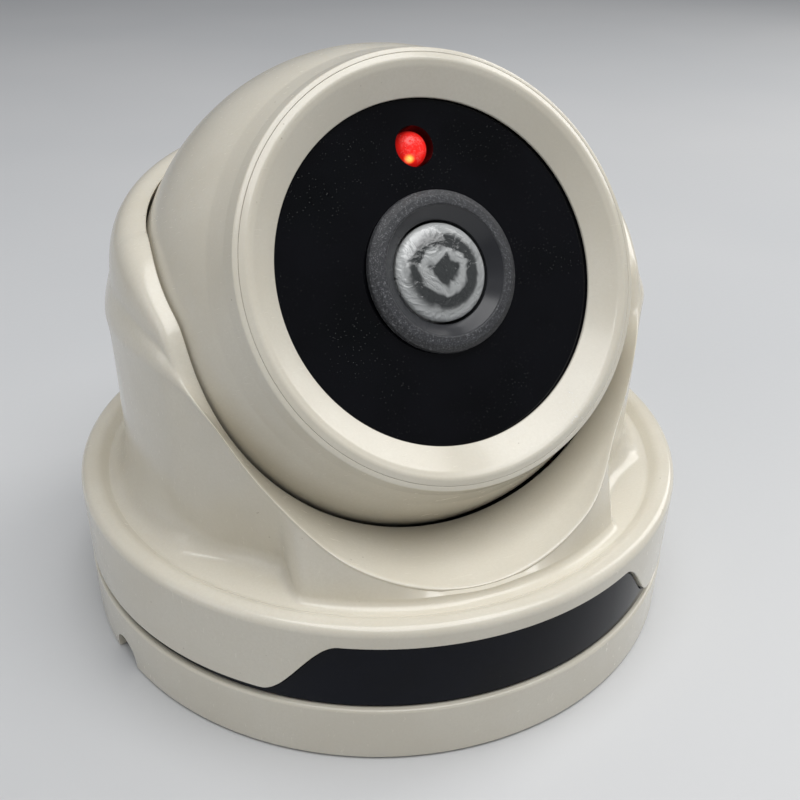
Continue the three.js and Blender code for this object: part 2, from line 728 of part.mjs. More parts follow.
turret.add(mesh('swivel_tray', swivelTray(), blackSatin));
turret.add(mesh('ball_seat_ring', seatRing(), rubber));
for (const [side, place] of [[-1, 'front'], [1, 'rear']]) {
  turret.add(mesh(`battery_cell_${place}`, cell(side), cellSleeve));
  turret.add(mesh(`cell_spring_${place}`, cellSpring(side), steel));
  turret.add(mesh(`spring_plate_${place}`, springPlate(side), steel));
  turret.add(mesh(`contact_plate_${place}`, contactPlate(side), brass));
}
turret.add(mesh('flasher_board', flasherBoard(), boardGreen));
turret.add(mesh('flasher_chip', flasherChip(), blackSatin));
turret.add(mesh('current_resistor', currentResistor(), cellSleeve));
turret.add(mesh('switch_body', switchBody(), steel));
turret.add(mesh('switch_knob', switchKnob(), blackSatin));
BOARD_SCREW_Y.forEach((y, i) => {
  turret.add(mesh(`board_screw_${i + 1}`, boardScrew(BOARD_X, y), steel));
});
turret.add(mesh('battery_wire_red', batteryWireRed(), redWire));
turret.add(mesh('battery_wire_black', batteryWireBlack(), blackWire));
turret.add(mesh('cell_link_wire', cellLinkWire(), redWire));
turret.add(mesh('feed_wire_red', feedWire(1), redWire));
turret.add(mesh('feed_wire_black', feedWire(-1), blackWire));

const swivel = new THREE.Group();
swivel.position.z = BALL_Z;
swivel.rotation.z = rad(FACE_YAW);
const ball = new THREE.Group();
ball.rotation.x = rad(90 - FACE_UP);
swivel.add(ball);
turret.add(swivel);

ball.add(mesh('ball_front_shell', ballFrontShell(), ivory));
ball.add(mesh('ball_rear_shell', ballRearShell(), ivory));
SHELL_SCREW_ANGLES.forEach((angle, i) => {
  const [x, y] = atAngle(SHELL_SCREW_ORBIT, angle);
  ball.add(mesh(`shell_screw_${i + 1}`, shellScrew(x, y), steel));
});
ball.add(mesh('bezel_ring', bezelRing(), ivory));
ball.add(mesh('face_disc', faceDisc(), blackGloss));
ball.add(mesh('lens_ring', lensRing(), blackSatin));
ball.add(mesh('clear_lens', clearLens(), clear));
ball.add(mesh('lens_retainer', lensRetainer(), blackSatin));
ball.add(mesh('red_led', redLed(), red));
ball.add(mesh('led_lead_plus', ledLead(LEAD_X, 10), steel));
ball.add(mesh('led_lead_minus', ledLead(-LEAD_X, 9), steel));
ball.add(mesh('led_wire_red', ledWire(1), redWire));
ball.add(mesh('led_wire_black', ledWire(-1), blackWire));

export default camera;
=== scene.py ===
"""Looks for a small turret dome camera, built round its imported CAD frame.

The helpers work in millimetres, and finished() turns each piece into metres. The front of the
housing is -Y, and the ball's pieces are drawn in the ball's own frame, whose Z is the lens axis
and whose Y points up across the face.
"""

import math

import bpy
import numpy as np
from mathutils import Matrix, Vector


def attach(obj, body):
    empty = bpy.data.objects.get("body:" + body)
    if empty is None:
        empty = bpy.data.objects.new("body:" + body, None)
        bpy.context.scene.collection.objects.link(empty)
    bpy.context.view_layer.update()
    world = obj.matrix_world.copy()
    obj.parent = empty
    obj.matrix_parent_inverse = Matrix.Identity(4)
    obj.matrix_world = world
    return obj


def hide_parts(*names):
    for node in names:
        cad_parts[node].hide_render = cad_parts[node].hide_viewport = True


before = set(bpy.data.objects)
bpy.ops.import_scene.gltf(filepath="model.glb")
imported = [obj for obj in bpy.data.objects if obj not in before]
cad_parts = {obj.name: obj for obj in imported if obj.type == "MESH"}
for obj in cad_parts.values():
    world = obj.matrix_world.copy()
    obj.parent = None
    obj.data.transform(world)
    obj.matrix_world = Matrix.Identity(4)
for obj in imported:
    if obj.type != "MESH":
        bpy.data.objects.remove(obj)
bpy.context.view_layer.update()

# ---------------------------------------------------------------- sizes, as in the CAD source

MM = 0.001
GAP = 0.3
BASE_R = 47.6
BASE_H = 8.9
BASE_INNER = 46.4
BASE_HOLE_R = 6
BASE_SCREW_R = 2.3
BASE_SCREW_ORBIT = 31
BASE_SCREW_ANGLES = (0, 120, 240)
FLOOR = 2.0
NOTCH_R = 3.0
NOTCH_ANGLE = -162
DATUM = 0.9
SKIRT_R = 47.5
SKIRT_WALL = 1.1
SKIRT_LOW = 9.5
SKIRT_HIGH = 18.8
WINDOW_FROM = 26
WINDOW_TO = 39
RIM_H = 21.9
DECK_Z = 20.6
DECK_UNDER = 19.1
BALL_Z = 46.1
BALL_R = 35.8
BALL_WALL = 2.0
SOCKET_R = 36.25
FACE_UP = 29.6
FACE_YAW = 6.5
SPLIT = -10
SCOOP_R = 32.3
SCOOP_Z = 54.1
RIDGE_Z = 48.4
TONGUE_R = 41.6
TONGUE_EDGE = 33.5
WALL = 1.8
DISC_FRONT = 20.48
DISC_T = 1.4
DISC_R = 24.9
LED_R = 2.45
LED_Y = 16.9
FACE_WINDOW_R = 23.15
MOUTH_R = 28.3
PAD_R = 46.9
PAD_LOW = 8.3
BAND_LOW = 4.6
BAND_WALL = 1.2
FLANGE_INNER = 43.4
FLANGE_OUTER = 45.2
FLANGE_TOP = 6
LED_HOLE_R = 2.75
CABLE_HOLE_R = 3.2
LOCK_ANGLES = (30, 150, 270)
BOSS_ANGLES = (90, 210, 330)
BOSS_ORBIT = 39.4
SHELL_SCREW_ORBIT = 31
SHELL_SCREW_ANGLES = (30, 150, 270)

ball_turn = Matrix.Rotation(math.radians(FACE_YAW), 4, "Z") @ Matrix.Rotation(
    math.radians(90 - FACE_UP), 4, "X"
)
TURRET_PLACE = Matrix.Translation((0, 0, DATUM))
BALL_PLACE = Matrix.Translation((0, 0, DATUM + BALL_Z)) @ ball_turn

# ---------------------------------------------------------------- materials


class Shader:
    """A node material built by short calls. Coordinates are in millimetres in the row frame,
    or in the ball's own frame when on_ball is true."""

    def __init__(self, name, on_ball=False):
        self.material = bpy.data.materials.new(name)
        self.material.use_nodes = True
        self.tree = self.material.node_tree
        self.tree.nodes.clear()
        self.output = self.add("ShaderNodeOutputMaterial")
        self.principled = self.add("ShaderNodeBsdfPrincipled")
        self.link(self.principled.outputs[0], self.output.inputs["Surface"])
        place = self.add("ShaderNodeTexCoord").outputs["Object"]
        if on_ball:
            turn = self.add("ShaderNodeMapping")
            turn.vector_type = "TEXTURE"
            turn.inputs["Location"].default_value = (0, 0, (DATUM + BALL_Z) * MM)
            turn.inputs["Rotation"].default_value = ball_turn.to_euler("XYZ")
            self.link(place, turn.inputs["Vector"])
            place = turn.outputs[0]
        scale = self.add("ShaderNodeMapping")
        scale.inputs["Scale"].default_value = (1 / MM, 1 / MM, 1 / MM)
        self.link(place, scale.inputs["Vector"])
        self.place = scale.outputs[0]

    def add(self, kind):
        return self.tree.nodes.new(kind)

    def link(self, output, socket):
        self.tree.links.new(output, socket)

    def put(self, value, socket):
        if isinstance(value, bpy.types.NodeSocket):
            self.link(value, socket)
        else:
            socket.default_value = value

    def set(self, **values):
        for key, value in values.items():
            self.put(value, self.principled.inputs[key.replace("_", " ")])
        return self

    def noise(self, scale, detail=2.0, rough=0.5, at=None, distortion=0.0):
        node = self.add("ShaderNodeTexNoise")
        node.inputs["Scale"].default_value = scale
        node.inputs["Detail"].default_value = detail
        node.inputs["Roughness"].default_value = rough
        node.inputs["Distortion"].default_value = distortion
        self.link(at or self.place, node.inputs["Vector"])
        return node.outputs[0]

    def cells(self, scale, at=None, randomness=1.0):
        """Distance to the nearest of a cloud of scattered points."""
        node = self.add("ShaderNodeTexVoronoi")
        node.inputs["Scale"].default_value = scale
        node.inputs["Randomness"].default_value = randomness
        self.link(at or self.place, node.inputs["Vector"])
        return node.outputs["Distance"]

    def stretched(self, factors, offset=(0, 0, 0), turn=(0, 0, 0)):
        node = self.add("ShaderNodeMapping")
        node.inputs["Scale"].default_value = factors
        node.inputs["Location"].default_value = offset
        node.inputs["Rotation"].default_value = turn
        self.link(self.place, node.inputs["Vector"])
        return node.outputs[0]

    def ramp(self, value, low, high, out_low=0.0, out_high=1.0):
        node = self.add("ShaderNodeMapRange")
        node.interpolation_type = "SMOOTHSTEP"
        for socket, number in zip(
            ("From Min", "From Max", "To Min", "To Max"), (low, high, out_low, out_high)
        ):
            node.inputs[socket].default_value = number
        self.link(value, node.inputs["Value"])
        return node.outputs[0]

    def math(self, operation, a, b=0.0):
        node = self.add("ShaderNodeMath")
        node.operation = operation
        self.put(a, node.inputs[0])
        self.put(b, node.inputs[1])
        return node.outputs[0]

    def mix(self, share, a, b):
        node = self.add("ShaderNodeMix")
        node.data_type = "RGBA"
        self.put(share, node.inputs["Factor"])
        for value, socket in ((a, node.inputs["A"]), (b, node.inputs["B"])):
            self.put((*value, 1) if isinstance(value, tuple) else value, socket)
        return node.outputs["Result"]

    def split(self, at=None):
        node = self.add("ShaderNodeSeparateXYZ")
        self.link(at or self.place, node.inputs[0])
        return node.outputs

    def reach(self, centre, at=None):
        """Distance from a point, in millimetres."""
        node = self.add("ShaderNodeVectorMath")
        node.operation = "DISTANCE"
        self.link(at or self.place, node.inputs[0])
        node.inputs[1].default_value = centre
        return node.outputs["Value"]

    def radius(self):
        """Distance from the Z axis, in millimetres."""
        x, y, _ = self.split()
        squares = self.math(
            "ADD", self.math("MULTIPLY", x, x), self.math("MULTIPLY", y, y)
        )
        return self.math("SQRT", squares)

    def bump(self, height, distance, strength=1.0, under=None):
        """distance is the height of a full step, in millimetres."""
        node = self.add("ShaderNodeBump")
        node.inputs["Strength"].default_value = strength
        node.inputs["Distance"].default_value = distance * MM
        self.link(height, node.inputs["Height"])
        if under is not None:
            self.link(under, node.inputs["Normal"])
        return node.outputs[0]


def ivory_plastic(name, on_ball=False, scuffs_and_glints=()):
    """Glossy ivory ABS: faint mottling, moulding ripple, hairline scratches and dust."""
    s = Shader(name, on_ball)
    mottle = s.noise(0.045, 3, 0.55)
    grain = s.noise(2.6, 4, 0.6)
    base = s.mix(s.ramp(mottle, 0.35, 0.65), (0.70, 0.655, 0.55), (0.745, 0.705, 0.605))
    base = s.mix(s.ramp(grain, 0.3, 0.75, 0.0, 0.35), base, (0.655, 0.61, 0.505))
    specks = s.ramp(s.cells(0.42), 0.035, 0.06, 1.0, 0.0)
    sparse = s.ramp(s.noise(0.11, 2), 0.52, 0.6)
    dirt = s.math("MULTIPLY", specks, sparse)
    base = s.mix(s.math("MULTIPLY", dirt, 0.55), base, (0.36, 0.31, 0.23))
    hair = s.noise(1.0, 3, 0.6, at=s.stretched((0.35, 4.2, 0.6), turn=(0.4, 0.2, 0.9)))
    hair = s.ramp(hair, 0.66, 0.70)
    smear = s.noise(0.16, 4, 0.6, distortion=0.6)
    rough = s.math("ADD", s.ramp(smear, 0.3, 0.75, 0.17, 0.27), s.math("MULTIPLY", hair, 0.10))
    ripple = s.noise(0.12, 2, 0.5)
    pebble = s.noise(2.2, 3, 0.55)
    height = s.math("ADD", s.math("MULTIPLY", pebble, 0.05), ripple)
    normal = s.bump(height, 0.05, 0.35)
    normal = s.bump(hair, 0.02, 0.25, under=normal)
    # scuff marks: the bump is a real raised mark, and the whitening towards near-white is a painted
    # glint
    for centre, size in scuffs_and_glints:
        near = s.ramp(s.reach(centre), 0.25 * size, size, 1.0, 0.0)
        flecks = s.noise(1.5, 5, 0.75, at=s.stretched((1.6, 0.9, 1.2), turn=(0, 0, 0.6)))
        edge = s.ramp(flecks, 0.60, 0.64)
        edge = s.math("MULTIPLY", edge, near)
        base = s.mix(s.math("MULTIPLY", edge, 0.7), base, (0.97, 0.97, 0.96))
        normal = s.bump(edge, 0.05, 0.5, under=normal)
    s.set(Base_Color=base, Roughness=rough, Normal=normal, Specular_IOR_Level=0.5)
    s.set(Coat_Weight=0.25, Coat_Roughness=0.12, Subsurface_Weight=0.06)
    s.set(Subsurface_Scale=0.002, Subsurface_Radius=(1.0, 0.75, 0.5))
    return s.material


def polished_black(name, on_ball=False, tint=(0.0035, 0.0037, 0.0052), dust=1.0, shine=0.32):
    """Polished near-black acrylic with dust and faint smears."""
    s = Shader(name, on_ball)
    cloud = s.noise(0.07, 3, 0.6)
    deep = tuple(0.55 * c for c in tint)
    base = s.mix(s.ramp(cloud, 0.35, 0.68), tint, deep)
    crowd = s.ramp(s.noise(0.13, 3, 0.65), 0.40, 0.66)
    fine = s.ramp(s.cells(2.6), 0.05, 0.11, 1.0, 0.0)
    coarse = s.ramp(s.cells(0.8), 0.02, 0.05, 1.0, 0.0)
    powder = s.math("ADD", s.math("MULTIPLY", fine, crowd), s.math("MULTIPLY", coarse, 0.4))
    powder = s.math("MULTIPLY", s.math("MINIMUM", powder, 1.0), 0.3 * dust)
    base = s.mix(powder, base, (0.55, 0.55, 0.52))
    smear = s.noise(0.3, 4, 0.65, distortion=0.8)
    rough = s.math("ADD", s.ramp(smear, 0.35, 0.75, 0.05, 0.13), s.math("MULTIPLY", powder, 0.6))
    normal = s.bump(s.noise(0.09, 2), 0.03, 0.25)
    normal = s.bump(powder, 0.03, 0.5, under=normal)
    s.set(Base_Color=base, Roughness=rough, Normal=normal, Specular_IOR_Level=shine)
    return s.material


def grained_black(name, on_ball=False, smooth_inside=None):
    """Satin black ABS with a spark-eroded grain, left smooth inside a radius."""
    s = Shader(name, on_ball)
    speck = s.noise(5.5, 3, 0.7)
    coarse = s.noise(2.6, 3, 0.65)
    grain = s.math("ADD", s.math("MULTIPLY", speck, 0.65), s.math("MULTIPLY", coarse, 0.35))
    light = s.ramp(grain, 0.50, 0.66)
    rough_skin = s.mix(light, (0.03, 0.031, 0.035), (0.19, 0.195, 0.205))
    base, rough, height = rough_skin, s.ramp(light, 0, 1, 0.55, 0.4), grain
    if smooth_inside is not None:
        inside = s.ramp(s.radius(), smooth_inside - 0.12, smooth_inside + 0.12, 1.0, 0.0)
        base = s.mix(inside, rough_skin, (0.030, 0.031, 0.035))
        rough = s.mix(inside, (0.5, 0.5, 0.5), (0.24, 0.24, 0.24))
        height = s.math("MULTIPLY", grain, s.math("SUBTRACT", 1.0, inside))
    s.set(Base_Color=base, Roughness=rough, Normal=s.bump(height, 0.12, 0.9))
    return s.material


def metal(name, color, rough=0.28, brushed=(1.0, 1.0, 6.0)):
    s = Shader(name)
    streak = s.noise(1.3, 4, 0.6, at=s.stretched(brushed))
    stain = s.noise(0.35, 3, 0.6)
    dark = tuple(0.72 * c for c in color)
    base = s.mix(s.ramp(streak, 0.35, 0.7), color, dark)
    roughness = s.ramp(stain, 0.3, 0.7, rough - 0.06, rough + 0.14)
    s.set(Base_Color=base, Roughness=roughness, Metallic=1.0)
    s.set(Normal=s.bump(streak, 0.02, 0.4))
    return s.material


def dull(name, color, second, scale=1.2, rough=0.6, depth=0.04):
    """A plain plastic, rubber, lacquer or board surface with grain and shade of its own."""
    s = Shader(name)
    shade = s.noise(scale, 4, 0.6)
    fine = s.noise(scale * 6, 2, 0.5)
    base = s.mix(s.ramp(shade, 0.32, 0.7), color, second)
    roughness = s.ramp(fine, 0.3, 0.7, rough - 0.08, rough + 0.08)
    s.set(Base_Color=base, Roughness=roughness, Normal=s.bump(fine, depth, 0.5))
    return s.material


def clear_plastic(name):
    """Clear moulded plastic with painted reflections in its colour: bright swirling streaks and a
    bright painted highlight round the rim, over a dark base.
    """
    s = Shader(name, on_ball=True)
    flow = s.noise(0.42, 2, 0.5, distortion=2.2)
    # painted reflection: swirling streaks that stand for light reflected inside the lens
    reflection_swirl = s.noise(0.17, 2, 0.45, distortion=2.2)
    rings = s.math("ADD", s.math("MULTIPLY", s.radius(), 1.9), s.math("MULTIPLY", reflection_swirl, 6.0))
    reflection_streaks = s.ramp(s.math("SINE", rings), -0.3, 0.95)
    # painted highlight: a bright ring round the lens's edge
    edge = s.ramp(s.radius(), 4.6, 6.2)
    # shine is the painted reflection: the brighter of the streaks and the rim highlight, mixed
    # towards near-white
    shine = s.math("MAXIMUM", s.math("MULTIPLY", reflection_streaks, 0.7), edge)
    base = s.mix(shine, (0.07, 0.075, 0.075), (0.90, 0.92, 0.91))
    rough = s.ramp(s.noise(1.4, 3), 0.4, 0.8, 0.02, 0.08)
    normal = s.bump(flow, 0.55, 0.6)
    s.set(Base_Color=base, Roughness=rough, Transmission_Weight=0.35)
    s.set(IOR=1.49, Normal=normal, Coat_Weight=1.0, Coat_Roughness=0.02)
    return s.material


def lit_epoxy(name):
    """A lit red indicator: an orange-yellow hot spot low to one side, duller at its top edge."""
    s = Shader(name, on_ball=True)
    hot = s.ramp(s.reach((-1.0, LED_Y - 1.6, 20.2)), 0.1, 0.95, 1.0, 0.0)
    glow = s.ramp(s.reach((0, LED_Y - 0.5, 20.4)), 0.8, 3.0, 1.0, 0.25)
    fold = s.ramp(s.noise(0.9, 4, 0.65, distortion=0.8), 0.52, 0.60)
    color = s.mix(hot, (1.0, 0.012, 0.010), (1.0, 0.42, 0.06))
    color = s.mix(s.math("MULTIPLY", fold, 0.35), color, (0.9, 0.12, 0.10))
    power = s.math("ADD", s.math("MULTIPLY", glow, 0.7), s.math("MULTIPLY", hot, 1.6))
    s.set(Base_Color=(0.55, 0.02, 0.015, 1), Roughness=0.22, Emission_Color=color)
    s.set(Emission_Strength=power, Normal=s.bump(fold, 0.25, 0.6))
    return s.material


def floor_paint(name):
    s = Shader(name)
    broad = s.noise(0.004, 3, 0.55)
    fine = s.noise(0.9, 3, 0.5)
    base = s.mix(s.ramp(broad, 0.3, 0.7), (0.60, 0.61, 0.62), (0.64, 0.645, 0.65))
    s.set(Base_Color=base, Roughness=s.ramp(fine, 0.3, 0.7, 0.5, 0.62))
    s.set(Normal=s.bump(fine, 0.05, 0.15))
    return s.material


shell_ivory = ivory_plastic("ivory_housing")
# the ball and bezel carry scuff marks whose white is a painted glint
ball_ivory = ivory_plastic("ivory_ball", on_ball=True, scuffs_and_glints=(((9.5, -27.5, 22.5), 3.4),))
bezel_ivory = ivory_plastic(
    "ivory_bezel", on_ball=True, scuffs_and_glints=(((15.0, -21.8, 23.2), 4.6),)
)
disc_black = polished_black("black_face", on_ball=True)
band_black = polished_black("black_band", tint=(0.0022, 0.0034, 0.0085), dust=0.3, shine=0.12)
ring_black = grained_black("black_lens_ring", on_ball=True, smooth_inside=8.75)
satin_black = grained_black("black_inside")
lens_clear = clear_plastic("clear_lens_plastic")
led_red = lit_epoxy("red_light")
zinc = metal("zinc_plate", (0.62, 0.63, 0.65))
yellow_brass = metal("pressed_brass", (0.75, 0.55, 0.24))
board_green = dull("green_board", (0.015, 0.14, 0.055), (0.02, 0.19, 0.075), rough=0.35)
seat_rubber = dull("seat_rubber", (0.02, 0.02, 0.021), (0.04, 0.04, 0.041), rough=0.8)
cell_wrap = dull("cell_wrap", (0.03, 0.055, 0.10), (0.045, 0.075, 0.125), 0.2, 0.3, 0.02)
tan_lacquer = dull("tan_lacquer", (0.50, 0.34, 0.19), (0.60, 0.44, 0.27), rough=0.35)
red_pvc = dull("red_pvc", (0.42, 0.018, 0.014), (0.50, 0.03, 0.02), rough=0.45)
black_pvc = dull("black_pvc", (0.012, 0.012, 0.013), (0.025, 0.025, 0.027), rough=0.45)

# ---------------------------------------------------------------- mesh building


def smooth(start, end, value):
    t = min(max((value - start) / (end - start), 0.0), 1.0)
    return t * t * (3 - 2 * t)


def at_angle(orbit, degrees):
    return orbit * math.cos(math.radians(degrees)), orbit * math.sin(math.radians(degrees))


def rounded(corners, steps=6):
    """A closed outline with each corner (x, y, radius) turned into an arc."""
    points = []
    for i, (x, y, radius) in enumerate(corners):
        here = Vector((x, y))
        back = Vector(corners[i - 1][:2]) - here
        on = Vector(corners[(i + 1) % len(corners)][:2]) - here
        half = back.angle(on) / 2
        if radius <= 0 or half > math.radians(89) or half < math.radians(1):
            points.append((x, y))
            continue
        reach = min(radius / math.tan(half), 0.48 * back.length, 0.48 * on.length)
        arc_radius = reach * math.tan(half)
        centre = here + (back.normalized() + on.normalized()).normalized() * (
            arc_radius / math.sin(half)
        )
        first = here + back.normalized() * reach - centre
        last = here + on.normalized() * reach - centre
        sweep = first.angle(last)
        for k in range(steps + 1):
            t = k / steps
            if sweep < 1e-4:
                arm = first
            else:
                arm = (
                    first * math.sin((1 - t) * sweep) + last * math.sin(t * sweep)
                ) / math.sin(sweep)
            points.append(tuple(centre + arm))
    return points


def sphere_arc(radius, start, end, steps):
    """Points on a circle about the origin, from one elevation to another, in radians."""
    return [
        (radius * math.cos(start + (end - start) * i / steps),
         radius * math.sin(start + (end - start) * i / steps))
        for i in range(steps + 1)
    ]


def raw_object(name, points, faces):
    data = bpy.data.meshes.new(name)
    data.from_pydata([tuple(p) for p in points], [], faces)
    data.validate()
    made = bpy.data.objects.new(name, data)
    bpy.context.scene.collection.objects.link(made)
    return made


def grid(rings):
    """Closed surface from rings of points: it closes round the rings and along each."""
    count, length = len(rings), len(rings[0])
    points = [p for ring in rings for p in ring]
    faces = []
    for i in range(count):
        following = (i + 1) % count
        for j in range(length):
            k = (j + 1) % length
            faces.append(
                (i * length + j, following * length + j, following * length + k, i * length + k)
            )
    return points, faces


def turned(name, profile, segments=180):
    """A closed outline of (radius, z) turned about Z. Points on the axis close the ends."""
    on_axis = profile[0][0] < 1e-6
    outline = profile[1:-1] if on_axis else profile
    rings = []
    for i in range(segments):
        angle = 2 * math.pi * i / segments
        rings.append([(r * math.cos(angle), r * math.sin(angle), z) for r, z in outline])
    if not on_axis:
        return raw_object(name, *grid(rings))
    length = len(outline)
    points = [p for ring in rings for p in ring]
    first, last = len(points), len(points) + 1
    points += [(0, 0, profile[0][1]), (0, 0, profile[-1][1])]
    faces = []
    for i in range(segments):
        following = (i + 1) % segments
        faces.append((first, following * length, i * length))
        for j in range(length - 1):
            faces.append(
                (i * length + j, following * length + j,
                 following * length + j + 1, i * length + j + 1)
            )
        end = length - 1
        faces.append((last, i * length + end, following * length + end))
    return raw_object(name, points, faces)


def post(x, y, radius, z0, z1, sides=40):
    outline = [(0, z0), (radius, z0), (radius, z1), (0, z1)]
    made = turned("tool", outline, sides)
    made.data.transform(Matrix.Translation((x, y, 0)))
    return made


def block(x0, x1, y0, y1, z0, z1):
    points = [(x, y, z) for x in (x0, x1) for y in (y0, y1) for z in (z0, z1)]
    faces = [(0, 1, 3, 2), (4, 6, 7, 5), (0, 4, 5, 1), (2, 3, 7, 6), (0, 2, 6, 4), (1, 5, 7, 3)]
    return raw_object("tool", points, faces)


def ring_block(r0, r1, z0, z1, middle, spread, steps=12):
    """A piece of a ring, centred on an angle from +X."""
    points, faces = [], []
    for i in range(steps + 1):
        angle = middle + spread * (i / steps - 0.5)
        for r, z in ((r0, z0), (r1, z0), (r1, z1), (r0, z1)):
            points.append((*at_angle(r, angle), z))
    for i in range(steps):
        for j in range(4):
            k = (j + 1) % 4
            faces.append((4 * i + j, 4 * i + 4 + j, 4 * i + 4 + k, 4 * i + k))
    faces += [(0, 1, 2, 3), (4 * steps + 3, 4 * steps + 2, 4 * steps + 1, 4 * steps)]
    return raw_object("tool", points, faces)


def outward(made):
    """Turns the faces of a closed mesh outwards."""
    data = made.data
    data.calc_loop_triangles()
    co = np.array([v.co for v in data.vertices])
    tri = np.array([t.vertices for t in data.loop_triangles])
    volume = np.einsum("ij,ij->i", co[tri[:, 0]], np.cross(co[tri[:, 1]], co[tri[:, 2]])).sum()
    if volume < 0:
        data.flip_normals()
    return made


def combine(body, operation, *tools):
    for tool in tools:
        outward(body)
        outward(tool)
        change = body.modifiers.new("combine", "BOOLEAN")
        change.operation = operation
        change.solver = "MANIFOLD"
        change.object = tool
        bpy.context.view_layer.update()
        evaluated = body.evaluated_get(bpy.context.evaluated_depsgraph_get())
        data = bpy.data.meshes.new_from_object(evaluated)
        body.modifiers.clear()
        body.data = data
        bpy.data.objects.remove(tool)
    return body


def cut(body, *tools):
    return combine(body, "DIFFERENCE", *tools)


def fuse(body, *tools):
    return combine(body, "UNION", *tools)


def finished(made, name, material, body, replaces, place=BALL_PLACE, sharp=35):
    """Places a piece, shades it and hands it to its CAD body."""
    outward(made)
    scale = Matrix.Scale(MM, 4)
    made.data.transform(scale @ place)
    made.name = name
    made.data.name = name
    made.data.materials.clear()
    made.data.materials.append(material)
    made.data.polygons.foreach_set("use_smooth", [True] * len(made.data.polygons))
    made.data.set_sharp_from_angle(angle=math.radians(sharp))
    weights = made.modifiers.new("weights", "WEIGHTED_NORMAL")
    weights.keep_sharp = True
    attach(made, body)
    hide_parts(*replaces)
    return made


# ---------------------------------------------------------------- mounting base


def base_body():
    outline = rounded([
        (BASE_HOLE_R, 0, 0.3), (BASE_R, 0, 0.4), (BASE_R, BASE_H, 0.45),
        (BASE_INNER, BASE_H, 0.25), (BASE_INNER, FLOOR, 0.5), (BASE_HOLE_R, FLOOR, 0.3),
    ])
    made = turned("base", outline, 240)
    lug_low, lug_top = DATUM + 6.4, DATUM + 7.6
    for angle in LOCK_ANGLES:
        made = fuse(made, ring_block(41.8, 43.0, FLOOR - 0.5, lug_top, angle, 9))
        made = fuse(made, ring_block(42.6, 44.5, lug_low, lug_top, angle, 9))
    for angle in BASE_SCREW_ANGLES:
        x, y = at_angle(BASE_SCREW_ORBIT, angle)
        made = cut(made, post(x, y, BASE_SCREW_R, -1, FLOOR + 1))
    upright = Matrix.Rotation(math.radians(NOTCH_ANGLE), 4, "Z")
    lying = Matrix.Translation((BASE_R - 1, 0, DATUM)) @ Matrix.Rotation(math.pi / 2, 4, "Y")
    round_top = turned("tool", [(0, -3), (NOTCH_R, -3), (NOTCH_R, 3), (0, 3)], 48)
    round_top.data.transform(upright @ lying)
    straight = block(BASE_R - 4, BASE_R + 2, -NOTCH_R, NOTCH_R, -1, DATUM)
    straight.data.transform(upright)
    return cut(made, round_top, straight)


# ---------------------------------------------------------------- housing


def between(a, b, share):
    return a + (b - a) * share


def soft_lesser(a, b, sharpness):
    """The lesser of two values, rounded where they cross."""
    return -math.log(math.exp(-sharpness * a) + math.exp(-sharpness * b)) / sharpness


def scoop_height(across):
    """Height of the scoop's surface at a distance from the middle plane."""
    return SCOOP_Z - math.sqrt(max(SCOOP_R**2 - across**2, 0))


def socket_edge(away):
    """Elevation of the socket's edge: where the scoop cuts the sphere, then the hood."""
    if away > 90:
        return 22 + 11 * math.sin(math.radians(away - 90))
    rise = SCOOP_Z - BALL_Z
    facing = math.cos(math.radians(away)) ** 2
    c = SOCKET_R**2 * (1 - facing) + rise**2 - SCOOP_R**2
    sine = c / (rise + math.sqrt(rise**2 - facing * c)) / SOCKET_R
    hood = 8 + 14 * smooth(56, 90, away)
    return soft_lesser(math.degrees(math.asin(sine)), hood, 0.6)


def wall_radius(away):
    ear = 36.9 + 2.5 * smooth(46, 66, away) + 0.7 * smooth(66, 94, away)
    return between(TONGUE_R, ear, smooth(TONGUE_EDGE, 41, away))


def crest(away):
    ridge = wall_radius(away) + 0.4 * (1 - smooth(120, 128, away))
    r = between(41 - 2.3 * smooth(24, 42, away), ridge, smooth(56, 68, away))
    across = r * math.sin(math.radians(min(away, 90)))
    slope = 43.3 + 0.5 * (max(away, 40) - 54)
    rising = soft_lesser(scoop_height(across), slope, 1)
    return r, soft_lesser(rising, RIDGE_Z, 1)


def over_the_top(away, share):
    """The surface from the crest (share 0) to the socket's edge (share 1)."""
    crest_r, crest_z = crest(away)
    edge = math.radians(socket_edge(away))
    edge_r, edge_z = SOCKET_R * math.cos(edge), BALL_Z + SOCKET_R * math.sin(edge)
    lip_r = between(crest_r, edge_r, share)
    chord = between(crest_z, edge_z, share)
    lip_z = min(scoop_height(lip_r * math.sin(math.radians(away))), chord) if away < 90 else chord
    turn = share * math.pi / 2
    start_r, start_z = wall_radius(away) - 0.9, crest_z + 0.9
    hood_r = between(edge_r, start_r, max(math.cos(turn), 0) ** (2 / 3))
    hood_z = between(start_z, edge_z, math.sin(turn) ** (2 / 3))
    on_hood = smooth(56, 67, away)
    return between(lip_r, hood_r, on_hood), between(lip_z, hood_z, on_hood)


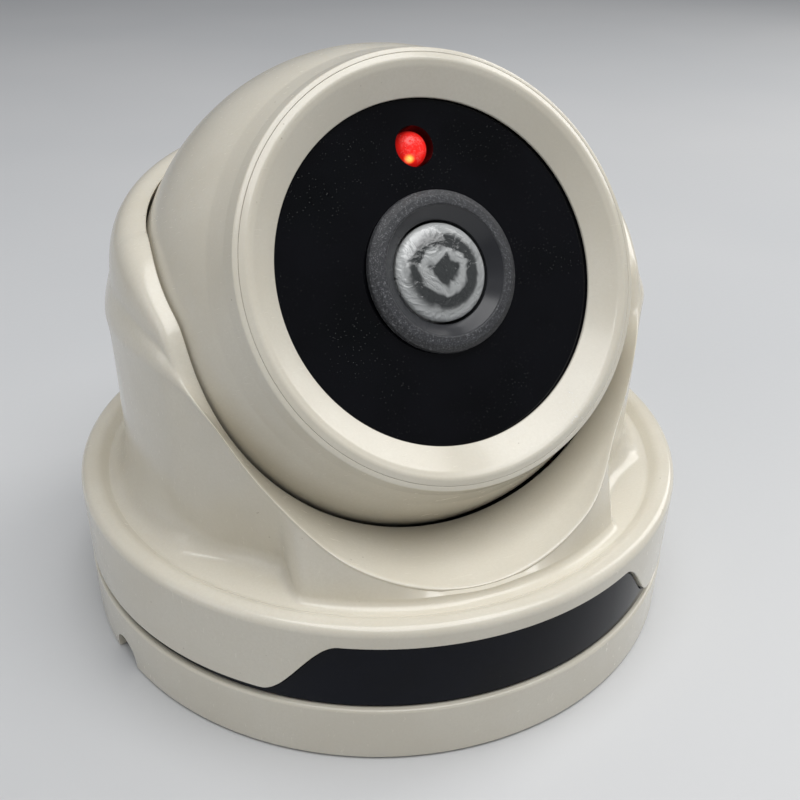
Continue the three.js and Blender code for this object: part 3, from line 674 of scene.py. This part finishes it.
def housing_section(degrees):
    """The closed outline in the half plane at one angle from the front."""
    away = abs(degrees)
    edge = math.radians(socket_edge(away))
    edge_r = SOCKET_R * math.cos(edge)
    edge_z = BALL_Z + SOCKET_R * math.sin(edge)
    wall_r = wall_radius(away)
    crest_r, crest_z = crest(away)
    low = SKIRT_HIGH - (SKIRT_HIGH - SKIRT_LOW) * smooth(WINDOW_FROM, WINDOW_TO, away)
    foot = 1.2 + 1.2 * smooth(34, 42, away) + 5.6 * smooth(52, 76, away)
    rise = min(foot, 0.8 * (crest_z - DECK_Z))
    reach = min(rise, 43.3 - wall_r)
    start = DECK_Z + rise

    outer = rounded([
        (SKIRT_R - SKIRT_WALL, low, 0), (SKIRT_R, low, 0.3), (SKIRT_R, RIM_H, 2.2),
        (44.9, RIM_H + 0.05, 2.0), (43.5, DECK_Z + 0.05, 1.0), (wall_r + reach, DECK_Z, 0),
    ], 7)
    for k in range(8):
        turn = math.radians(90 * k / 7)
        outer.append((
            wall_r + reach - reach * math.sin(turn), DECK_Z + rise - rise * math.cos(turn)
        ))
    steps = 20
    bead = 0.8 * smooth(50, 60, away) + 0.45
    stop = max(crest_z - bead, start + 0.05)
    for i in range(1, steps + 1):
        t = i / steps
        lean = between(t, t**9, smooth(54, 66, away))
        outer.append((between(wall_r, crest_r - 0.12, lean), between(start, stop, t)))
    last_r, last_z = outer[-1]
    inside_r, inside_z = over_the_top(away, 0.1)
    for k in range(1, 9):
        t = k / 8
        outer.append((
            (1 - t) ** 2 * last_r + 2 * t * (1 - t) * (crest_r + 0.15) + t**2 * inside_r,
            (1 - t) ** 2 * last_z + 2 * t * (1 - t) * (crest_z + 0.12) + t**2 * inside_z,
        ))
    span = 26
    for k in range(1, span):
        outer.append(over_the_top(away, 0.1 + 0.88 * k / span))
    outer += [(edge_r + 0.12, edge_z + 0.03), (edge_r, edge_z - 0.12)]
    inner = []
    for share in (0.83, 0.67, 0.5, 0.33, 0.17, 0.0):
        if edge > 0:
            inner.append((
                SOCKET_R * math.cos(edge * share) + 0.01,
                BALL_Z + SOCKET_R * math.sin(edge * share) - 0.15,
            ))
        else:
            inner.append((edge_r, edge_z - 0.15 - (1 - share) * 1.4))
    shoulder_r = max(wall_r - WALL, edge_r + 0.02)
    shoulder_z = max(min(crest_z - WALL, inner[-1][1] - 0.4), DECK_UNDER + 0.2)
    inner += [
        (inner[-1][0] if edge > 0 else shoulder_r, shoulder_z),
        (shoulder_r, DECK_UNDER),
        (SKIRT_R - SKIRT_WALL, DECK_UNDER - 0.01),
    ]
    return outer + inner


def fine_angles():
    """Every 1.5 degrees, and closer round the tongue's corners and the ears' leading edges."""
    angles = []
    degrees = -180.0
    while degrees < 180:
        angles.append(degrees)
        degrees += 0.5 if 24 <= abs(degrees) <= 72 else 1.5
    return angles


def lofted(name, section):
    """A ring whose section changes with the angle from the front."""
    rings = []
    for degrees in fine_angles():
        sine, cosine = math.sin(math.radians(degrees)), math.cos(math.radians(degrees))
        rings.append([(r * sine, -r * cosine, z) for r, z in section(degrees)])
    return raw_object(name, *grid(rings))


def housing_body():
    made = lofted("housing", housing_section)
    for angle in BOSS_ANGLES:
        x, y = at_angle(BOSS_ORBIT, angle)
        made = fuse(made, post(x, y, 2, 4.4, DECK_UNDER + 0.8))
        made = cut(made, post(x, y, 1.2, 4, 14))
    return made


def band_section(degrees):
    outer = SKIRT_R - SKIRT_WALL - GAP
    inner = outer - BAND_WALL
    drop = (SKIRT_HIGH - SKIRT_LOW) * smooth(WINDOW_FROM, WINDOW_TO, abs(degrees))
    top = SKIRT_HIGH - drop - 0.35
    pad = [(PAD_R, PAD_LOW + 0.15), (PAD_R, top - 0.15), (PAD_R - 0.15, top)]
    return [
        (inner, BAND_LOW), (outer, BAND_LOW), (outer, PAD_LOW), (PAD_R - 0.15, PAD_LOW), *pad,
        (outer, top + 0.1), (outer, SKIRT_HIGH), (inner, SKIRT_HIGH),
    ]


def band_body():
    inner = SKIRT_R - SKIRT_WALL - GAP - BAND_WALL
    made = lofted("band", band_section)
    flange = turned("tool", [
        (FLANGE_INNER, BAND_LOW), (FLANGE_OUTER, BAND_LOW),
        (FLANGE_OUTER, FLANGE_TOP), (FLANGE_INNER, FLANGE_TOP),
    ], 240)
    made = fuse(made, flange)
    for angle in LOCK_ANGLES:
        made = cut(made, ring_block(42, inner, 4, FLANGE_TOP + 0.5, angle - 12, 11))
    return made


# ---------------------------------------------------------------- ball


def front_shell():
    inside = BALL_R - BALL_WALL
    flare = rounded([
        (30.2, 19.75, 0), (29.55, 21.3, 2.0), (28.95, 23.3, 0.3), (MOUTH_R, 23.5, 0.05),
        (MOUTH_R, 21.0, 0),
    ], 6)
    outline = (
        sphere_arc(BALL_R, math.asin(SPLIT / BALL_R), math.acos(30.75 / BALL_R), 48)
        + flare[1:]
        + sphere_arc(inside, math.acos(MOUTH_R / inside), math.asin(SPLIT / inside), 30)
    )
    made = turned("front_shell", outline, 240)
    for angle in SHELL_SCREW_ANGLES:
        x, y = at_angle(SHELL_SCREW_ORBIT, angle)
        made = fuse(made, post(x, y, 2.5, SPLIT + GAP, 2))
        made = cut(made, post(x, y, 1.1, SPLIT - 1, 0.5))
    return made


def rear_shell():
    inside = BALL_R - BALL_WALL
    end = SPLIT - GAP
    outline = (
        sphere_arc(BALL_R, -math.acos(CABLE_HOLE_R / BALL_R), math.asin(end / BALL_R), 50)
        + sphere_arc(inside, math.asin(end / inside), -math.acos(CABLE_HOLE_R / inside), 30)
    )
    made = turned("rear_shell", outline, 240)
    for angle in SHELL_SCREW_ANGLES:
        x, y = at_angle(SHELL_SCREW_ORBIT, angle)
        within = turned("tool", sphere_arc(BALL_R - 0.6, -math.pi / 2, math.pi / 2, 60), 120)
        boss = combine(post(x, y, 2.9, -16, end), "INTERSECT", within)
        made = fuse(made, boss)
        made = cut(made, post(x, y, 1.3, -30, 0), post(x, y, 2.4, -30, -11.8))
    return made


def bezel_body():
    outer = MOUTH_R - 0.03
    return turned("bezel", rounded([
        (FACE_WINDOW_R, DISC_FRONT + GAP, 0.05), (FACE_WINDOW_R, 21.1, 0.2), (25.2, 22.55, 2.5),
        (26.5, 23.5, 2.0), (27.35, 23.85, 0.8), (outer, 23.5, 0.08), (outer, 16.5, 0),
        (26.6, 16.5, 0), (DISC_R + GAP, 17.5, 0), (DISC_R + GAP, DISC_FRONT + GAP, 0),
    ], 8), 240)


def disc_body():
    back = DISC_FRONT - DISC_T
    made = turned("disc", rounded([
        (9, back, 0), (DISC_R, back, 0.1), (DISC_R, DISC_FRONT, 0.12), (9, DISC_FRONT, 0.05),
    ], 4), 240)
    made = fuse(made, post(0, LED_Y, 4, 14, back + 0.2))
    hole = post(0, LED_Y, LED_HOLE_R, 10, DISC_FRONT + 1, 64)
    return cut(made, hole)


def lens_ring_body():
    seat = DISC_FRONT + GAP
    return turned("lens_ring", rounded([
        (10.9, seat, 0.08), (10.8, 21.55, 0.3), (9.95, 22.2, 0.45), (8.85, 22.28, 0.28),
        (7.0, 20.6, 0.2), (7.0, 13.0, 0), (8.7, 13.0, 0), (8.7, seat, 0),
    ], 6), 180)


def lens_body():
    """A plano-convex lens with a rolled edge."""
    dome = [(6.65 * math.sin(t), 20.3 + 1.8 * math.cos(t)) for t in
            (math.pi / 2 * k / 22 for k in range(22, -1, -1))]
    outline = [(0, 16.2), (6.3, 16.2), (6.5, 16.28), (6.65, 16.6), (6.65, 18.5), *dome]
    outline[-1] = (0, outline[-1][1])
    return turned("lens", outline, 120)


def led_body():
    dome = [(LED_R * math.cos(t), 18.5 + LED_R * math.sin(t)) for t in
            (math.pi / 2 * k / 18 for k in range(19))]
    outline = [(0, 12.4), (2.6, 12.4), (2.7, 12.5), (2.7, 13.3), (2.6, 13.4), (LED_R, 13.45), *dome]
    outline[-1] = (0, outline[-1][1])
    made = turned("led", outline, 64)
    made.data.transform(Matrix.Translation((0, LED_Y, 0)))
    return made


# ---------------------------------------------------------------- pieces

finished(base_body(), "base", shell_ivory, "mount", ["mounting_base"], Matrix())
finished(
    housing_body(), "housing", shell_ivory, "housing", ["upper_housing"],
    TURRET_PLACE,
)
finished(
    band_body(), "band", band_black, "housing", ["band_insert"], TURRET_PLACE
)
finished(front_shell(), "front_shell", ball_ivory, "ball", ["ball_front_shell"])
finished(rear_shell(), "rear_shell", ball_ivory, "ball", ["ball_rear_shell"])
finished(bezel_body(), "bezel", bezel_ivory, "ball", ["bezel_ring"])
finished(disc_body(), "disc", disc_black, "ball", ["face_disc"])
finished(lens_ring_body(), "lens_collar", ring_black, "ball", ["lens_ring"])
finished(lens_body(), "lens", lens_clear, "ball", ["clear_lens"])
finished(led_body(), "light", led_red, "ball", ["red_led"])

carried = {
    shell_ivory: ["retaining_ring"],
    satin_black: ["swivel_tray", "flasher_chip", "switch_knob", "lens_retainer"],
    seat_rubber: ["ball_seat_ring"],
    cell_wrap: ["battery_cell_front", "battery_cell_rear"],
    yellow_brass: ["contact_plate_front", "contact_plate_rear"],
    board_green: ["flasher_board"],
    tan_lacquer: ["current_resistor"],
    red_pvc: ["battery_wire_red", "cell_link_wire", "feed_wire_red", "led_wire_red"],
    black_pvc: ["battery_wire_black", "feed_wire_black", "led_wire_black"],
    zinc: [
        "retainer_screw_1", "retainer_screw_2", "retainer_screw_3", "cell_spring_front",
        "cell_spring_rear", "spring_plate_front", "spring_plate_rear", "switch_body",
        "board_screw_1", "board_screw_2", "shell_screw_1", "shell_screw_2", "shell_screw_3",
        "led_lead_plus", "led_lead_minus",
    ],
}
for material, names in carried.items():
    for name in names:
        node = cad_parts[name]
        node.data.materials.clear()
        node.data.materials.append(material)

# ---------------------------------------------------------------- floor, light and camera

floor_half = 6.0
floor = raw_object(
    "floor",
    [(-floor_half, -floor_half, 0), (floor_half, -floor_half, 0),
     (floor_half, floor_half, 0), (-floor_half, floor_half, 0)],
    [(0, 1, 2, 3)],
)
floor.location.z = -0.0002
floor.data.materials.append(floor_paint("floor_paint"))

world = bpy.data.worlds.new("studio")
world.use_nodes = True
world.node_tree.nodes["Background"].inputs["Color"].default_value = (0.90, 0.93, 1.0, 1)
world.node_tree.nodes["Background"].inputs["Strength"].default_value = 0.16
bpy.context.scene.world = world


def softbox(name, place, target, width, height, power, color=(1, 1, 1)):
    data = bpy.data.lights.new(name, "AREA")
    data.shape = "RECTANGLE"
    data.size = width
    data.size_y = height
    data.energy = power
    data.color = color
    lamp = bpy.data.objects.new(name, data)
    bpy.context.scene.collection.objects.link(lamp)
    lamp.location = place
    lamp.rotation_mode = "QUATERNION"
    lamp.rotation_quaternion = (Vector(target) - Vector(place)).to_track_quat("-Z", "Y")
    return lamp


middle = (0, 0, 0.045)
softbox("top_light", (0.06, -0.16, 0.80), middle, 0.8, 0.7, 6.2)
softbox("left_light", (-0.65, -0.10, 0.40), middle, 0.35, 0.5, 0.45, (0.97, 0.98, 1.0))
softbox("right_light", (0.60, 0.15, 0.42), middle, 0.3, 0.5, 1.5, (1.0, 0.99, 0.97))
bpy.context.scene.view_settings.view_transform = "Standard"

camera_data = bpy.data.cameras.new("view")
camera_data.lens = 42.96
camera_data.sensor_width = 36
camera_data.clip_start = 0.01
camera_data.clip_end = 50
camera = bpy.data.objects.new("view", camera_data)
bpy.context.scene.collection.objects.link(camera)
yaw, pitch, roll = math.radians(21.40), math.radians(30.33), math.radians(1.22)
forward = Vector((
    math.sin(yaw) * math.cos(pitch), math.cos(yaw) * math.cos(pitch), -math.sin(pitch)
))
level = Vector((math.cos(yaw), -math.sin(yaw), 0))
upright = level.cross(forward)
right = level * math.cos(roll) + upright * math.sin(roll)
above = upright * math.cos(roll) - level * math.sin(roll)
turn = Matrix((right, above, -forward)).transposed()
camera.matrix_world = Matrix.Translation((-0.0459, -0.1260, 0.1065)) @ turn.to_4x4()
bpy.context.scene.camera = camera
